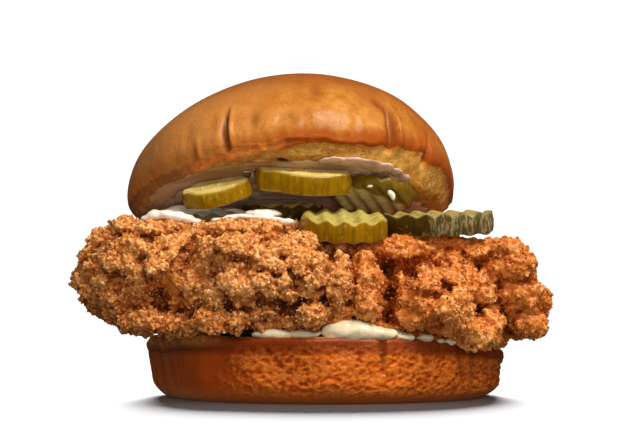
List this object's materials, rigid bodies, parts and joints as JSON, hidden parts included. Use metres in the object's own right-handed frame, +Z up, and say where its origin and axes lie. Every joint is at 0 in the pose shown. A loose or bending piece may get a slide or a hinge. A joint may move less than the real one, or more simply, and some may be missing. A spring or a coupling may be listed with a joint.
{
  "type": "chicken burger",
  "caption": "Fried chicken burger: a craggy breaded fillet wider than its bun, crinkle-cut pickle chips and mayonnaise, with the glazed crown tipped back.",
  "frame": {"origin": "middle of the heel's flat base, on the surface that the burger stands on", "axes": "+Z up, -Y towards the open front where the filling shows, +X to the right seen from the front, along the fillet"},
  "size_m": [0.1488, 0.1135, 0.0998],
  "materials": {
    "crown_crust": "glazed golden-brown crust with a soft shine",
    "heel_crust": "orange-brown baked crust, dimpled, with a low shine",
    "breading": "craggy fried breading, golden at its peaks and red-brown in its hollows",
    "pickle": "wet olive and yellow-green crinkle-cut pickle",
    "mayonnaise": "creamy and glossy"
  },
  "bodies": {
    "root": {"bun_heel": "heel_crust", "mayonnaise_heel": "mayonnaise", "chicken_fillet": "breading", "mayonnaise_fillet": "mayonnaise", "pickle_left": "pickle", "pickle_centre": "pickle", "pickle_right": "pickle", "pickle_front": "pickle", "pickle_long": "pickle", "pickle_inner": "pickle", "pickle_shade": "pickle", "mayonnaise_crown": "mayonnaise", "bun_crown": "crown_crust"}
  },
  "joints": []
}
